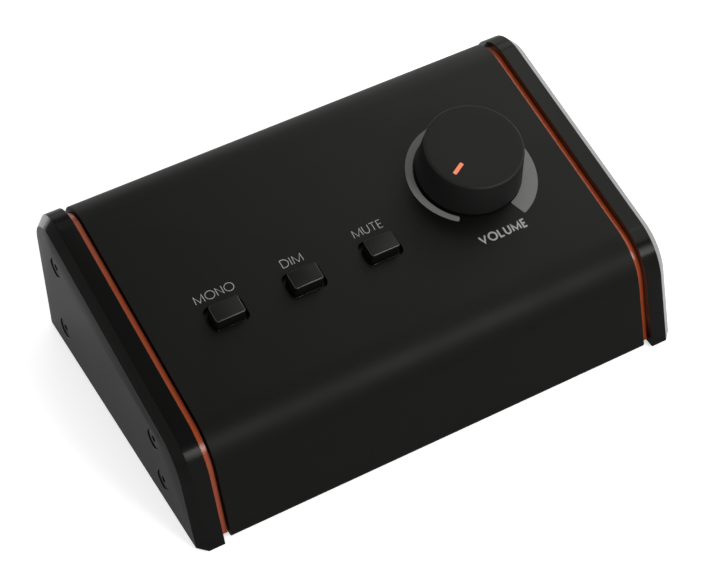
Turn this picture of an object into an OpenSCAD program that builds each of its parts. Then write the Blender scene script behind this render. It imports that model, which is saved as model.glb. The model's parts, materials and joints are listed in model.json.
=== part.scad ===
// Desktop studio monitor controller.
// A folded metal body with a sloped control panel stands between two thick chamfered cheeks.
// A thin accent plate lies in the groove on each side. One volume knob and three push buttons
// sit on the slope, and four round audio sockets face the rear.
// Millimetres. +X is right, +Y is rear, +Z is up. The origin is on the table, below the middle.

/* [Cheeks] */
// Width over both cheeks
overall_w = 200; // [190:1:240]
// Depth of a cheek at its foot
cheek_d = 128.7; // [124:0.1:145]
// Height of the sloped edge above the cheek's foot, carried on to the rear face
rear_h = 67; // [66:0.5:76]
// Thickness of a cheek
cheek_t = 9.8; // [8:0.1:12]
// Chamfer round the outer edge of a cheek
cheek_chamfer = 3.4; // [1:0.1:4]
// Height of the cheek's foot above the table
cheek_lift = 1.1; // [0.5:0.1:2]
// Lean of the front edge from upright, in degrees
front_lean = 15.4; // [10:0.2:18]
// Rise of the control panel, in degrees
slope = 12.7; // [10:0.1:14]
// Radius of the bend between front and slope
front_bend_r = 21.6; // [14:0.2:24]
// Radius of the bend between slope and rear
rear_bend_r = 16.4; // [12:0.2:17]

/* [Accent plates] */
// Thickness of an accent plate
accent_t = 2.7; // [2:0.1:4]
// How far the accent plate's edge lies below the cheek's edge
accent_inset = 2.8; // [1.5:0.1:4]

/* [Body] */
// Thickness of the folded cover
cover_t = 2; // [1.5:0.1:2.4]
// How far the cover's face lies below the cheek's edge
cover_inset = 0.6; // [0.3:0.1:1.2]
// Gap between the cover's end and the accent plate
end_gap = 0.35; // [0.2:0.05:0.8]
// Outer radius of the cover's and the rear panel's bottom folds
fold_r = 2.6; // [2.5:0.1:4]
// Length of the flange folded in below the front and the rear
flange_l = 14; // [12:0.5:18]
// Thickness of the base plate
base_t = 1.5; // [1.2:0.1:2]
// Thickness of a side frame
frame_t = 1.5; // [1.2:0.1:2]
// Width of a side frame's bottom flange
frame_flange_w = 11; // [9:0.5:14]
// Thickness of the rear panel
rear_t = 2; // [1.5:0.1:2.5]
// Clearance between inner sheets that don't touch
sheet_gap = 0.3; // [0.2:0.05:0.5]
// Height of a rubber foot
foot_h = 5; // [4.5:0.1:7]
// Diameter of a rubber foot
foot_dia = 16; // [12:0.5:20]
// Bevel round a foot's lower edge
foot_bevel = 1; // [0.5:0.1:1.5]
// Distance of a foot's middle from the cover's end
foot_in = 17; // [12:0.5:25]
// Gap between a foot and the folded flange before or behind it
foot_gap = 4; // [3:0.5:8]
// Distance of the flange screws from the outside of the fold
flange_screw_in = 8; // [7.5:0.5:9]
// Distance of the outer flange screws and lip screws from the cover's end
row_screw_in = 13; // [10:0.5:16]
// Distance of the side frames' screws from the middle, front and rear
frame_screw_y = 21.5; // [18:0.5:24]
// How far the rear panel's top edge lies below the rear bend
panel_drop = 1.5; // [1:0.1:2.5]

/* [Cheek screws] */
// Shank diameter of a cheek screw
cheek_screw_dia = 4; // [3:0.5:5]
// Length of a cheek screw, head included
cheek_screw_l = 20; // [19:0.5:25]
// Head diameter of a cheek screw
cheek_head_dia = 8; // [7:0.1:9]
// How far the head lies below the cheek's face
head_sink = 0.4; // [0.1:0.1:0.8]
// Height of the low screws above the cheek's foot
low_screw_z = 11.7; // [11:0.1:14]
// Height of the front high screw above the cheek's foot
front_screw_z = 29.3; // [26:0.1:31]
// Height of the rear high screw above the cheek's foot
rear_screw_z = 44.6; // [36:0.1:46]
// Distance of the front screws behind the front edge
front_screw_in = 24.6; // [20:0.1:30]
// Distance of the rear screws before the rear face
rear_screw_in = 18.9; // [17:0.1:24]
// Width across the flats of a cheek screw's hex socket
cheek_hex_w = 2.5; // [2:0.1:3]
// Height of a press nut
nut_h = 4; // [3:0.5:5]
// Outer diameter of a press nut
nut_dia = 7.2; // [6.5:0.1:8]

/* [Small screws] */
// Shank diameter of the small screws
small_dia = 3; // [2.5:0.5:3]
// Head diameter of the small pan-head screws
pan_dia = 5.6; // [5:0.1:6]
// Head height of the small pan-head screws
pan_h = 1.8; // [1.2:0.1:2]
// Shank length of the base screws
base_screw_l = 5.5; // [4.5:0.5:8]
// Shank length of the board screws
board_screw_l = 6; // [4:0.5:8]
// Length of the flat-head screws in the rear
flat_screw_l = 7; // [5:0.5:8]
// Head diameter of the flat-head screws in the rear
flat_dia = 5.4; // [5:0.1:5.6]
// Width across the flats of the small screws' hex sockets
small_hex_w = 2; // [1.5:0.1:2]
// Height of the upright rim round a flat head
head_rim = 0.25; // [0.1:0.05:0.4]
// Radial clearance of a through hole
hole_clear = 0.2; // [0.1:0.05:0.3]

/* [Volume knob] */
// Distance of the knob's axis from the cover's right end
knob_in = 36.9; // [33:0.1:42]
// Place of the knob up the slope, from the front corner line
knob_u = 59.8; // [54:0.1:66]
// Diameter at the knob's foot
knob_dia = 40.2; // [34:0.1:44]
// Diameter at the knob's top
knob_top_dia = 37.4; // [32:0.1:40]
// Height of the knob
knob_h = 15; // [14:0.1:18]
// Gap between the panel and the knob
knob_gap = 1.2; // [0.6:0.1:2]
// Radius of the knob's upper edge
knob_edge_r = 1; // [0.5:0.1:2]
// Wall of the knob
knob_wall = 2; // [1.5:0.1:3]
// Thickness of the knob's top
knob_top_t = 2.8; // [2:0.1:4]
// Wall of the sleeve round the knob's metal hub
sleeve_wall = 1.5; // [1:0.1:2.5]
// Gap between the hub and the end of the bushing
hub_gap = 0.4; // [0.2:0.1:0.8]
// Direction of the pointer at rest, in degrees from +X
pointer_angle = 210; // [190:1:228]
// Distance of the pointer's inner end from the axis
pointer_r = 9.2; // [6:0.1:12]
// Length of the pointer
pointer_l = 5.7; // [4:0.1:6.5]
// Width of the pointer
pointer_w = 1.6; // [1:0.1:2]
// Corner radius of the pointer's ends
pointer_end_r = 0.4; // [0.2:0.05:0.45]
// Depth of the pointer's groove
pointer_deep = 0.9; // [0.5:0.1:1.2]
// How far the pointer stands above the knob's top
pointer_proud = 0.1; // [0.05:0.05:0.2]

/* [Potentiometer] */
// Diameter of the shaft
shaft_dia = 6; // [5:0.5:6]
// Height of the shaft's end above the panel
shaft_top = 12.6; // [11:0.1:13]
// Depth of the flat on the shaft
shaft_flat = 1.5; // [1:0.1:1.8]
// Diameter of the threaded bushing
bushing_dia = 7.6; // [7.4:0.1:9]
// Height of the bushing above the panel
bushing_top = 4; // [3.5:0.1:4.5]
// Width across the flats of the nut
pot_nut_w = 10; // [9:0.5:12]
// Height of the nut
pot_nut_h = 2; // [1.5:0.1:2.4]
// Diameter of the washer
washer_dia = 12; // [11:0.5:14]
// Thickness of the washer
washer_t = 0.6; // [0.4:0.1:0.8]
// Diameter of the can
pot_can_dia = 19; // [17:0.5:20]
// Thickness of the mounting plate
pot_plate_t = 0.8; // [0.6:0.1:1.2]
// Diameter of the wiper disc
wiper_dia = 12.6; // [10:0.1:13]
// Thickness of the wiper disc
wiper_t = 1.2; // [0.8:0.1:1.6]
// Distance of the wiper disc below the mounting plate
wiper_drop = 3; // [2:0.1:4]
// Room round the wiper disc
wiper_room = 0.7; // [0.4:0.1:1]
// Diameter of the knob's metal hub
hub_dia = 9; // [8:0.1:10]
// Radial running clearance of the shaft
run_clear = 0.05; // [0.02:0.01:0.08]
// Clearance of threads and pushed-on pieces
fit_clear = 0.03; // [0.02:0.01:0.05]

/* [Push buttons] */
// Distance of the left button's middle from the cover's left end
button_in = 28.6; // [26:0.1:31]
// Distance from one button to the next
button_pitch = 31.3; // [27:0.1:32]
// Place of the buttons up the slope, from the front corner line
button_u = 44.3; // [40:0.1:48]
// Width of a button
button_w = 11.7; // [10:0.1:13]
// Length of a button up the slope
button_l = 7.4; // [7:0.1:9]
// Height of a button above the panel
button_h = 4; // [3.2:0.1:5]
// Corner radius of a button
button_r = 1; // [0.9:0.1:2]
// Bevel round a button's top
button_bevel = 0.3; // [0.2:0.1:0.4]
// Gap between a button and its cut-out
button_gap = 1.7; // [0.6:0.1:1.8]
// Travel of a button
button_travel = 2.5; // [1.5:0.1:2.8]
// Gap between a pressed button and its switch
press_gap = 1.2; // [0.4:0.1:1.5]
// Wall of a button
button_wall = 1.2; // [1:0.1:1.3]
// Height of a button's retaining rim
button_rim_h = 1; // [0.8:0.1:1.2]
// How far the retaining rim reaches past the cut-out
button_rim_w = 0.6; // [0.4:0.1:0.8]
// Gap between the retaining rim and the cover
rim_gap = 0.3; // [0.1:0.05:0.5]
// Width of the switch's plunger
plunger_w = 3.2; // [3:0.1:3.2]
// Width of a switch
switch_w = 8.5; // [8:0.1:10]
// Thickness of a switch's top
switch_wall = 1; // [0.8:0.1:1.2]
// Thickness of a switch's floor
switch_floor = 0.6; // [0.4:0.1:0.8]
// Width of the room inside a switch
chamber_w = 5.5; // [5.2:0.1:6]
// Thickness of the plunger's collar
collar_t = 1; // [0.8:0.1:1.2]
// Clearance round the collar, and above it at rest
collar_gap = 0.2; // [0.1:0.05:0.3]

/* [Boards] */
// Depth of the control board below the panel's face
board_drop = 14; // [13.9:0.1:15]
// Thickness of both boards
board_t = 1.6; // [1:0.1:2]
// Board beyond the left button and the knob, left and right
board_side = 16; // [15:0.5:18]
// Board beyond the button row, down the slope
board_down = 10.5; // [10:0.5:12]
// Board beyond the knob's axis, up the slope
board_up = 16; // [14:0.5:18]
// Distance of the board's fixings from its edges
fixing_in = 4; // [3.5:0.1:5]
// Width across the flats of a standoff
standoff_w = 5.5; // [5:0.5:6]
// Width of a cable header
header_w = 27; // [24:1:32]
// Depth of a cable header
header_d = 6; // [5:0.5:8]
// Height of a cable header with its plug
header_h = 8.5; // [7:0.5:9.5]
// Place of both headers across the body
header_x = -20; // [-30:1:-10]
// Distance of the control board's header behind the buttons, up the slope
header_u = 8; // [6:0.5:12]
// Straight length of the ribbon below the control board's header
ribbon_drop = 4.4; // [3:0.1:6]
// Thickness of the ribbon cable
ribbon_t = 1; // [0.8:0.1:1.2]
// How far the ribbon's edges lie inside the ends of its headers
ribbon_in = 1; // [0.5:0.1:3]
// Middle radius of the ribbon's bend
ribbon_r = 6; // [4:0.5:7]

/* [Rear sockets] */
// Distance of the outer sockets' axes from the cover's ends
socket_in = 33; // [31:0.5:38]
// Width of a socket's flange
socket_w = 26; // [25:0.5:27]
// Height of a socket's flange
socket_l = 31; // [30:0.5:32]
// Thickness of a socket's flange
socket_flange_t = 2; // [1.6:0.1:2.4]
// Corner radius of a socket's flange
socket_r = 3; // [2:0.1:4]
// Gap between the bottom fold and the sockets' flanges
socket_foot = 1.4; // [1:0.1:2.4]
// Gap between the sockets' flanges and the cover's rear lip
lip_gap = 2; // [1.5:0.1:3]
// Diameter of a socket's barrel
barrel_dia = 23.6; // [22:0.1:24]
// Depth of a socket's barrel behind the panel's face
barrel_l = 20; // [19:0.5:22]
// Distance of the fixing screws from the socket's axis, across
socket_screw_x = 9.5; // [9:0.1:10]
// Distance of the fixing screws from the socket's axis, up and down
socket_screw_z = 12; // [12:0.1:12.5]
// Diameter of the jack bore in an input
jack_dia = 6.5; // [6.4:0.05:6.7]
// Depth of the jack bore in an input
jack_deep = 18; // [16:0.5:19]
// Diameter of the round core in an input
core_dia = 15.8; // [15.4:0.1:16]
// Outer diameter of the ring groove in an input
groove_dia = 19.2; // [19:0.1:19.6]
// Depth of the ring groove in an input
groove_deep = 14; // [12:0.5:16]
// Diameter of an output's cup
cup_dia = 16.3; // [16:0.1:16.6]
// Depth of an output's cup
cup_deep = 14; // [12:0.5:16]
// Width of the key slot in an output's cup
key_w = 3; // [2:0.1:3.5]
// How far the key slot reaches past the cup
key_deep = 1.2; // [0.8:0.1:1.6]
// Distance of the contacts from the socket's axis
contact_r = 5.6; // [5.4:0.1:5.6]
// Diameter of an output's contact pin
pin_dia = 2.4; // [2:0.1:2.6]
// Diameter of an input's contact hole
contact_hole_dia = 3; // [2.8:0.1:3.1]
// Wall of an input's contact sleeve
contact_wall = 0.5; // [0.3:0.1:0.7]
// How far the pins' tips and the sleeves' mouths lie below the flange's face
contact_sink = 2; // [1.5:0.1:3]

/* [Hidden] */
$fn = 96;

// Reach of a cutting solid past the face that it cuts
over = 1;
hair = 0.001;
hex = 6;
black = "#1b1b1b";
soft_black = "#262626";
orange = "#c8501e";
steel = "#b9bcbd";
zinc = "#8d9092";
brass = "#c8a24a";
board_green = "#1f5a3a";

// Layers across the width, measured from the middle
outer_x = overall_w / 2;
accent_x = outer_x - cheek_t;
frame_x = accent_x - accent_t;
cover_x = frame_x - end_gap;
frame_in_x = frame_x - frame_t;

// Levels from the table
base_z = foot_h;
base_top = base_z + base_t;
cover_floor = base_z - cover_t;
rear_floor = base_z - rear_t;

// Rear panel and sockets
rear_y = cheek_d / 2 - cover_inset - cover_t;
rear_in_y = rear_y - rear_t;
socket_z = rear_floor + fold_r + socket_foot + socket_l / 2;
socket_pitch = (cover_x - socket_in) * 2 / 3;
lip_z = socket_z + socket_l / 2 + lip_gap;
panel_top = arc_z() - panel_drop;
lip_screw_z = (lip_z + panel_top) / 2;

// Feet and rows of screws
foot_x = cover_x - foot_in;
front_fold_y = front_y(cover_floor, cover_inset);
foot_front_y = front_fold_y + flange_l + foot_gap + foot_dia / 2;
foot_rear_y = rear_y - flange_l - foot_gap - foot_dia / 2;
row_screw_x = cover_x - row_screw_in;

// Sloped panel
corner_z = corner_at(0);
corner_y = front_y(corner_z, 0);
knob_x = cover_x - knob_in;
button_x = button_in - cover_x;
button_places = [for (i = [0:2]) button_x + i * button_pitch];
cut_w = button_w + 2 * button_gap;
cut_l = button_l + 2 * button_gap;
cut_r = button_r + button_gap;
shaft_hole_dia = shaft_dia + 2 * run_clear;
board_x0 = button_x - board_side;
board_x1 = knob_x + board_side;
board_u0 = button_u - board_down;
board_u1 = knob_u + board_up;
rear_board_y = rear_y - barrel_l - board_t;
hub_from = bushing_top + hub_gap;
knob_ceiling = knob_h - knob_top_t;
wiper_z = -cover_t - pot_plate_t - wiper_drop;

// Levels in the buttons and switches, from the panel's face
button_pocket_z = button_h - button_wall;
rim_top = -cover_t - rim_gap;
rim_low = rim_top - button_rim_h;
switch_top = rim_low - button_travel - press_gap;
switch_h = switch_top + board_drop;
chamber_top = switch_top - switch_wall;
chamber_low = -board_drop + switch_floor;
collar_top = chamber_top - collar_gap;
collar_w = chamber_w - 2 * collar_gap;

// The side outline. d is how far an edge lies inside the cheek's own edge.
function front_y(z, d) = -cheek_d / 2 + (z - cheek_lift) * tan(front_lean) + d / cos(front_lean);
function slope_z(y, d) = cheek_lift + rear_h - (cheek_d / 2 - y) * tan(slope) - d / cos(slope);
function corner_at(d) = (cheek_lift + rear_h - cheek_d * tan(slope)
    - cheek_lift * tan(front_lean) * tan(slope)
    + d * tan(slope) / cos(front_lean) - d / cos(slope)) / (1 - tan(front_lean) * tan(slope));
function outline_points(d, floor) = [
    [front_y(floor, d), floor],
    [front_y(corner_at(d), d), corner_at(d)],
    [cheek_d / 2 - d, slope_z(cheek_d / 2 - d, d)],
    [cheek_d / 2 - d, floor]
];
function outline_radii(d, fold) = [fold, front_bend_r - d, rear_bend_r - d, 0];

// Rounded corners: p is the corner, a and b are its neighbours, r is the radius
function unit(v) = v / norm(v);
function half_angle(a, p, b) = acos(unit(a - p) * unit(b - p)) / 2;
function tangent_l(a, p, b, r) = r / tan(half_angle(a, p, b));
function arc_centre(a, p, b, r) = p + unit(unit(a - p) + unit(b - p)) * r / sin(half_angle(a, p, b));
function before(points, i) = points[(i + len(points) - 1) % len(points)];
function after(points, i) = points[(i + 1) % len(points)];
function tangent_in(points, radii, i) = points[i] + unit(before(points, i) - points[i])
    * tangent_l(before(points, i), points[i], after(points, i), radii[i]);
function tangent_out(points, radii, i) = points[i] + unit(after(points, i) - points[i])
    * tangent_l(before(points, i), points[i], after(points, i), radii[i]);
function centre_of(points, radii, i) =
    arc_centre(before(points, i), points[i], after(points, i), radii[i]);
// Height at which the rear bend ends and the upright rear begins
function arc_z() = centre_of(outline_points(0, cheek_lift), outline_radii(0, 0), 2)[1];

// The wedge at round corner i, from the arc's centre out past the corner
module corner_wedge(points, radii, i) {
    m = centre_of(points, radii, i);
    reach = 1.4;
    polygon([m, m + (tangent_in(points, radii, i) - m) * reach, m + (points[i] - m) * reach,
        m + (tangent_out(points, radii, i) - m) * reach]);
}

// A polygon whose convex corners are true arcs. A hair on the radius lets arc and edge cross cleanly.
module rounded(points, radii) {
    difference() {
        polygon(points);
        for (i = [0:len(points) - 1])
            if (radii[i] > 0)
                difference() {
                    corner_wedge(points, radii, i);
                    translate(centre_of(points, radii, i)) circle(r = radii[i] + hair);
                }
    }
}

// A rectangle about the middle, with round corners
function box_points(w, l) = [[-w / 2, -l / 2], [-w / 2, l / 2], [w / 2, l / 2], [w / 2, -l / 2]];
module rounded_box(w, l, r) {
    rounded(box_points(w, l), [r, r, r, r]);
}

// A solid of height h below z = 0, from a clockwise rounded outline, with a 45 degree bevel c
// round its top. edges lists the bevelled edges; edge i runs from point i to the next.
module bevelled(points, radii, h, c, edges) {
    difference() {
        translate([0, 0, -h]) linear_extrude(h) polygon(points);
        for (i = edges) {
            run = after(points, i) - points[i];
            translate([points[i][0], points[i][1], 0])
                rotate([0, 0, atan2(run[1], run[0])])
                    translate([-over, 0, 0])
                        rotate([90, 0, 90])
                            linear_extrude(norm(run) + 2 * over)
                                polygon([[over, -c - over], [over, over], [-c - over, over]]);
        }
        for (i = [0:len(points) - 1])
            if (radii[i] > 0)
                translate([0, 0, -h - over])
                    bevelled_corner(points, radii, h + over, c, i);
    }
}

// What is cut away outside round corner i, up to height h, with the bevel as a cone
module bevelled_corner(points, radii, h, c, i) {
    m = centre_of(points, radii, i);
    r = radii[i] + hair;
    past = 0.2;
    difference() {
        linear_extrude(h + past) corner_wedge(points, radii, i);
        translate([m[0], m[1], -over]) cylinder(h = h - c + over, r = r);
        translate([m[0], m[1], h - c]) cylinder(h = c + 2 * past, r1 = r, r2 = r - c - 2 * past);
    }
}

// Carries a drawing of the side outline across the width, from x0 to x1
module slab(x0, x1) {
    translate([x0, 0, 0]) rotate([90, 0, 90]) linear_extrude(x1 - x0) children();
}

module outline(d, floor, fold = 0) {
    rounded(outline_points(d, floor), outline_radii(d, fold));
}

module mirrored() {
    mirror([1, 0, 0]) children();
}

// A place on the panel's face: local Z points out of the panel and local Y up the slope
module on_panel(x, u) {
    translate([x, corner_y + u * cos(slope) + cover_inset * sin(slope),
        corner_z + u * sin(slope) - cover_inset * cos(slope)])
        rotate([slope, 0, 0]) children();
}

// A place on the rear panel's face: local Z points to the rear and local Y points up
module on_rear(x, z) {
    translate([x, rear_y, z]) rotate([90, 0, 180]) children();
}

// The four screw places on a cheek, with local Z pointing out of the right cheek
module at_cheek_screws() {
    for (z = [low_screw_z, front_screw_z])
        translate([outer_x, front_y(cheek_lift + z, 0) + front_screw_in, cheek_lift + z])
            rotate([0, 90, 0]) children();
    for (z = [low_screw_z, rear_screw_z])
        translate([outer_x, cheek_d / 2 - rear_screw_in, cheek_lift + z])
            rotate([0, 90, 0]) children();
}

module tube(h, outer, inner) {
    difference() {
        cylinder(h = h, d = outer);
        translate([0, 0, -over]) cylinder(h = h + 2 * over, d = inner);
    }
}

// A flat-head screw: the head's face is at z = 0 and the shank points down
module flat_screw(d, head, l, socket) {
    cone = (head - d) / 2;
    difference() {
        union() {
            translate([0, 0, -head_rim]) cylinder(h = head_rim, d = head);
            translate([0, 0, -head_rim - cone]) cylinder(h = cone, d1 = d, d2 = head);
            translate([0, 0, -l]) cylinder(h = l - head_rim, d = d);
        }
        translate([0, 0, -socket * 0.6])
            cylinder(h = socket * 0.6 + over, d = socket / cos(30), $fn = hex);
    }
}

// The seat that a flat-head screw lies in, with the hole below it
module flat_seat(d, head, l, sink) {
    cone = (head - d) / 2;
    translate([0, 0, -l]) cylinder(h = l + over, d = d + 2 * fit_clear);
    translate([0, 0, -sink - head_rim - cone])
        cylinder(h = cone, d1 = d + 2 * fit_clear, d2 = head + 2 * fit_clear);
    translate([0, 0, -sink - head_rim])
        cylinder(h = sink + head_rim + over, d = head + 2 * fit_clear);
}

// A hole through a sheet of thickness t, which a small screw passes freely
module through_hole(t) {
    translate([0, 0, -over]) cylinder(h = t + 2 * over, d = small_dia + 2 * hole_clear);
}

// A pan-head screw: the head's seat is at z = 0 and the shank points up
module pan_screw(d, l) {
    difference() {
        union() {
            cylinder(h = l, d = d);
            translate([0, 0, -pan_h * 0.6]) cylinder(h = pan_h * 0.6, d = pan_dia);
            translate([0, 0, -pan_h]) cylinder(h = pan_h * 0.4, d1 = pan_dia * 0.8, d2 = pan_dia);
        }
        translate([0, 0, -pan_h - over])
            cylinder(h = pan_h * 0.6 + over, d = small_hex_w / cos(30), $fn = hex);
    }
}

// ---- Cheeks, accent plates and side frames, drawn on the right ----

module cheek() {
    points = outline_points(0, cheek_lift);
    radii = outline_radii(0, 0);
    color(black) difference() {
        translate([outer_x, 0, 0]) rotate([90, 0, 90])
            bevelled(points, radii, cheek_t, cheek_chamfer, [0:2]);
        at_cheek_screws() flat_seat(cheek_screw_dia, cheek_head_dia, cheek_t + over, head_sink);
    }
}

module accent_plate() {
    color(orange) difference() {
        slab(frame_x, accent_x) outline(accent_inset, cover_floor);
        at_cheek_screws()
            translate([0, 0, -cheek_t - accent_t - over])
                cylinder(h = accent_t + 2 * over, d = cheek_screw_dia + 2 * fit_clear);
    }
}

module side_frame() {
    inset = cover_inset + cover_t + sheet_gap;
    rear_end = rear_in_y - sheet_gap;
    flange_from = front_y(base_top, inset) + flange_l;
    color(steel) difference() {
        union() {
            slab(frame_in_x, frame_x)
                intersection() {
                    outline(inset, base_top);
                    translate([-cheek_d, 0]) square([cheek_d + rear_end, rear_h * 2]);
                }
            translate([frame_x - frame_flange_w, flange_from, base_top])
                cube([frame_flange_w, rear_end - flange_l - flange_from, frame_t]);
        }
        at_cheek_screws()
            translate([0, 0, -cheek_t - accent_t - frame_t - over])
                cylinder(h = frame_t + 2 * over, d = cheek_screw_dia + 2 * fit_clear);
        at_frame_screws() cylinder(h = base_screw_l + over, d = small_dia + 2 * fit_clear);
    }
}

module press_nuts() {
    color(zinc)
        at_cheek_screws()
            translate([0, 0, -(outer_x - frame_in_x) - nut_h])
                tube(nut_h, nut_dia, cheek_screw_dia + 2 * fit_clear);
}

module cheek_screws() {
    color(zinc)
        at_cheek_screws()
            translate([0, 0, -head_sink])
                flat_screw(cheek_screw_dia, cheek_head_dia, cheek_screw_l, cheek_hex_w);
}

module left_cheek() {
    mirrored() cheek();
}

module right_cheek() {
    cheek();
}

module left_accent_plate() {
    mirrored() accent_plate();
}

module right_accent_plate() {
    accent_plate();
}

module left_side_frame() {
    mirrored() side_frame();
}

module right_side_frame() {
    side_frame();
}

module left_press_nuts() {
    mirrored() press_nuts();
}

module right_press_nuts() {
    press_nuts();
}

module left_cheek_screws() {
    mirrored() cheek_screws();
}

module right_cheek_screws() {
    cheek_screws();
}

// ---- Body ----

// Screw places under the base: local Z points up
module at_flange_screws() {
    for (x = [-row_screw_x, 0, row_screw_x]) {
        translate([x, front_fold_y + flange_screw_in, cover_floor]) children();
        translate([x, rear_y - flange_screw_in, rear_floor]) children();
    }
}

module at_frame_screws() {
    for (side = [-1, 1], y = [-frame_screw_y, frame_screw_y])
        translate([side * (frame_in_x - frame_flange_w / 2), y, base_z]) children();
}

module at_lip_screws() {
    for (x = [-row_screw_x, 0, row_screw_x])
        translate([0, cover_t, 0]) on_rear(x, lip_screw_z) children();
}

// The cover is one folded sheet: bottom flange, leaning front, sloped panel, rear bend and lip
module top_cover() {
    inner = cover_inset + cover_t;
    flange_end = front_fold_y + flange_l;
    color(black) difference() {
        slab(-cover_x, cover_x)
            difference() {
                outline(cover_inset, cover_floor, fold_r);
                outline(inner, cover_floor + cover_t, fold_r - cover_t);
                translate([flange_end, 0]) square([cheek_d, base_top]);
                square([cheek_d, lip_z]);
            }
        on_panel(knob_x, knob_u)
            translate([0, 0, -cover_t - over])
                cylinder(h = cover_t + 2 * over, d = bushing_dia + 2 * fit_clear);
        for (x = button_places)
            on_panel(x, button_u)
                translate([0, 0, -cover_t - over])
                    linear_extrude(cover_t + 2 * over) rounded_box(cut_w, cut_l, cut_r);
        at_flange_screws() through_hole(cover_t);
        at_lip_screws() flat_seat(small_dia, flat_dia, flat_screw_l, 0);
    }
}

module base_plate() {
    fold_l = (fold_r - cover_t) / tan((90 - front_lean) / 2);
    front = front_y(base_z, cover_inset + cover_t) + fold_l + sheet_gap;
    rear = rear_in_y - (fold_r - rear_t) - sheet_gap;
    color(black) difference() {
        translate([-cover_x, front, base_z]) cube([2 * cover_x, rear - front, base_t]);
        at_flange_screws() cylinder(h = base_screw_l + over, d = small_dia + 2 * fit_clear);
        at_frame_screws() through_hole(base_t);
    }
}

// The rear panel is folded in along its foot, under the base plate
module rear_panel() {
    fore = rear_y - flange_l;
    color(black) difference() {
        slab(-cover_x, cover_x)
            difference() {
                rounded([[fore, rear_floor], [fore, panel_top], [rear_y, panel_top], [rear_y, rear_floor]],
                    [0, 0, 0, fold_r]);
                rounded([[fore - over, base_z], [fore - over, panel_top + over],
                    [rear_in_y, panel_top + over], [rear_in_y, base_z]], [0, 0, 0, fold_r - rear_t]);
            }
        for (x = socket_places())
            on_rear(x, socket_z) {
                translate([0, 0, -rear_t - over])
                    cylinder(h = rear_t + 2 * over, d = barrel_dia + 2 * hole_clear);
                at_socket_fixings() translate([0, 0, -rear_t - over])
                    cylinder(h = rear_t + 2 * over, d = small_dia + 2 * fit_clear);
            }
        at_flange_screws() through_hole(rear_t);
        at_lip_screws() translate([0, 0, -flat_screw_l])
            cylinder(h = flat_screw_l, d = small_dia + 2 * fit_clear);
    }
}

module rubber_feet() {
    color(soft_black)
        for (x = [-foot_x, foot_x], y = [foot_front_y, foot_rear_y])
            translate([x, y, 0]) {
                cylinder(h = foot_bevel, d1 = foot_dia - 2 * foot_bevel, d2 = foot_dia);
                translate([0, 0, foot_bevel]) cylinder(h = foot_h - foot_bevel, d = foot_dia);
            }
}

module base_screws() {
    color(zinc) {
        at_flange_screws() pan_screw(small_dia, base_screw_l);
        at_frame_screws() pan_screw(small_dia, base_screw_l);
    }
}

module lip_screws() {
    color(zinc) at_lip_screws() flat_screw(small_dia, flat_dia, flat_screw_l, small_hex_w);
}

// ---- Volume knob and potentiometer ----

// Half of the knob, cut through its axis: tapered wall, top with a round edge, and the hub's sleeve
module knob_profile() {
    foot_r = knob_dia / 2;
    top_r = knob_top_dia / 2;
    bore_r = hub_dia / 2 + fit_clear;
    sleeve_z = hub_from - knob_gap;
    rounded([
        [0, knob_h], [top_r, knob_h], [foot_r, 0], [foot_r - knob_wall, 0],
        [top_r - knob_wall, knob_ceiling], [bore_r + sleeve_wall, knob_ceiling],
        [bore_r + sleeve_wall, sleeve_z], [bore_r, sleeve_z], [bore_r, knob_ceiling], [0, knob_ceiling]
    ], [0, knob_edge_r, 0, 0, 0, 0, 0, 0, 0, 0]);
}

module d_shape(d, flat, clear) {
    difference() {
        circle(d = d + 2 * clear);
        translate([d / 2 - flat + clear, -d]) square([d, 2 * d]);
    }
}

module at_pointer() {
    rotate([0, 0, pointer_angle])
        translate([pointer_r + pointer_l / 2, 0, knob_gap + knob_h - pointer_deep]) children();
}

module volume_knob() {
    color(soft_black) on_panel(knob_x, knob_u) difference() {
        translate([0, 0, knob_gap]) rotate_extrude() knob_profile();
        at_pointer() linear_extrude(pointer_deep + over) rounded_box(pointer_l, pointer_w, pointer_end_r);
    }
}

module knob_hub() {
    l = knob_gap + knob_ceiling - hub_from;
    color(brass) on_panel(knob_x, knob_u) translate([0, 0, hub_from])
        difference() {
            cylinder(h = l, d = hub_dia);
            translate([0, 0, -over]) linear_extrude(l + 2 * over) d_shape(shaft_dia, shaft_flat, fit_clear);
        }
}

module knob_pointer() {
    color(orange) on_panel(knob_x, knob_u) at_pointer()
        linear_extrude(pointer_deep + pointer_proud)
            rounded_box(pointer_l - 2 * fit_clear, pointer_w - 2 * fit_clear, pointer_end_r - fit_clear);
}

module pot_shaft() {
    color(steel) on_panel(knob_x, knob_u) {
        translate([0, 0, wiper_z]) cylinder(h = bushing_top - wiper_z, d = shaft_dia);
        translate([0, 0, bushing_top]) linear_extrude(shaft_top - bushing_top)
            d_shape(shaft_dia, shaft_flat, 0);
    }
}

module pot_wiper() {
    color(brass) on_panel(knob_x, knob_u) translate([0, 0, wiper_z - wiper_t])
        cylinder(h = wiper_t, d = wiper_dia);
}

module pot_bushing() {
    color(zinc) on_panel(knob_x, knob_u) difference() {
        union() {
            translate([0, 0, -cover_t - pot_plate_t]) cylinder(h = pot_plate_t, d = pot_can_dia);
            translate([0, 0, -cover_t]) cylinder(h = cover_t + bushing_top, d = bushing_dia);
        }
        translate([0, 0, -cover_t - pot_plate_t - over])
            cylinder(h = cover_t + pot_plate_t + bushing_top + 2 * over, d = shaft_hole_dia);
    }
}

module pot_washer() {
    color(zinc) on_panel(knob_x, knob_u) tube(washer_t, washer_dia, bushing_dia + 2 * fit_clear);
}

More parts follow.
